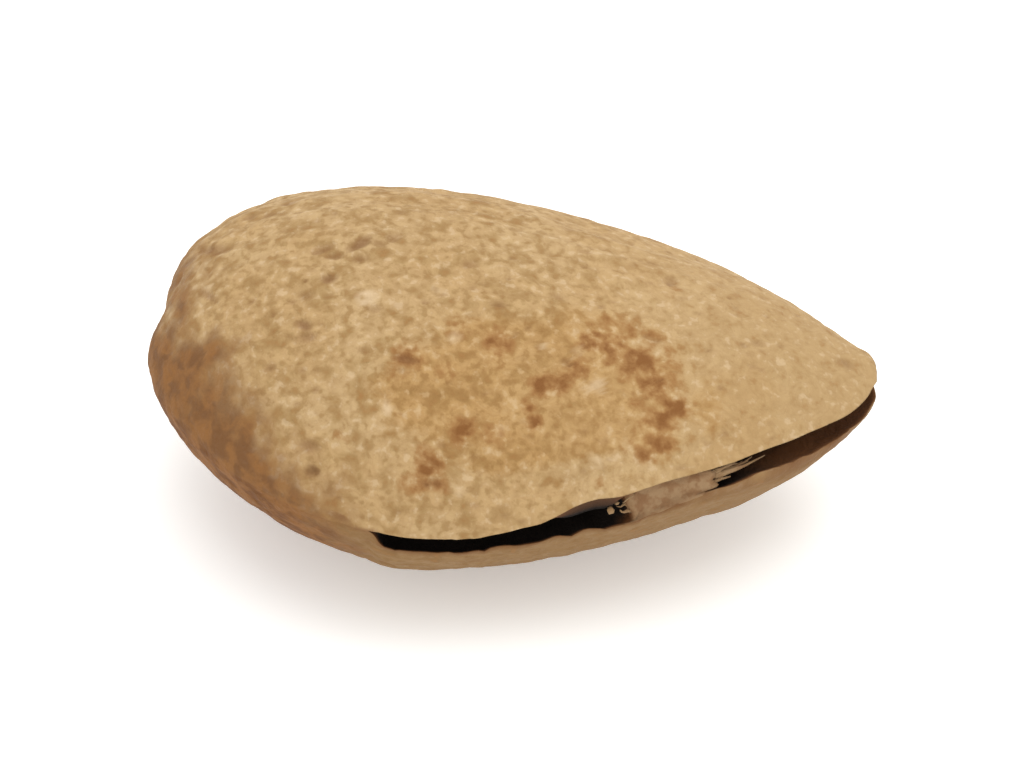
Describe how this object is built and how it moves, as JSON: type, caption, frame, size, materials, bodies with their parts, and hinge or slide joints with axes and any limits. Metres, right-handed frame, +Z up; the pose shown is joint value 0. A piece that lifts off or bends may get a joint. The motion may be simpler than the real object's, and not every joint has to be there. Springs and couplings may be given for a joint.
{
  "type": "almond",
  "caption": "Almond in its hard shell, flattened teardrop with a pointed tip, lying on one cheek, the seam split open along one side and round the tip, a loose kernel inside.",
  "frame": {"origin": "the middle of the outline seen from above, at the height of the surface the nut rests on", "axes": "+X along the nut from the rounded stem end to the pointed tip, -Y towards the side with the split seam, +Z up through the two cheeks"},
  "size_m": [0.0344, 0.0218, 0.0148],
  "materials": {
    "shell": "matte, sandy, pitted",
    "kernel_skin": "matte, wrinkled, dry skin"
  },
  "bodies": {
    "root": {"shell": "shell", "kernel": "kernel_skin"}
  },
  "joints": []
}
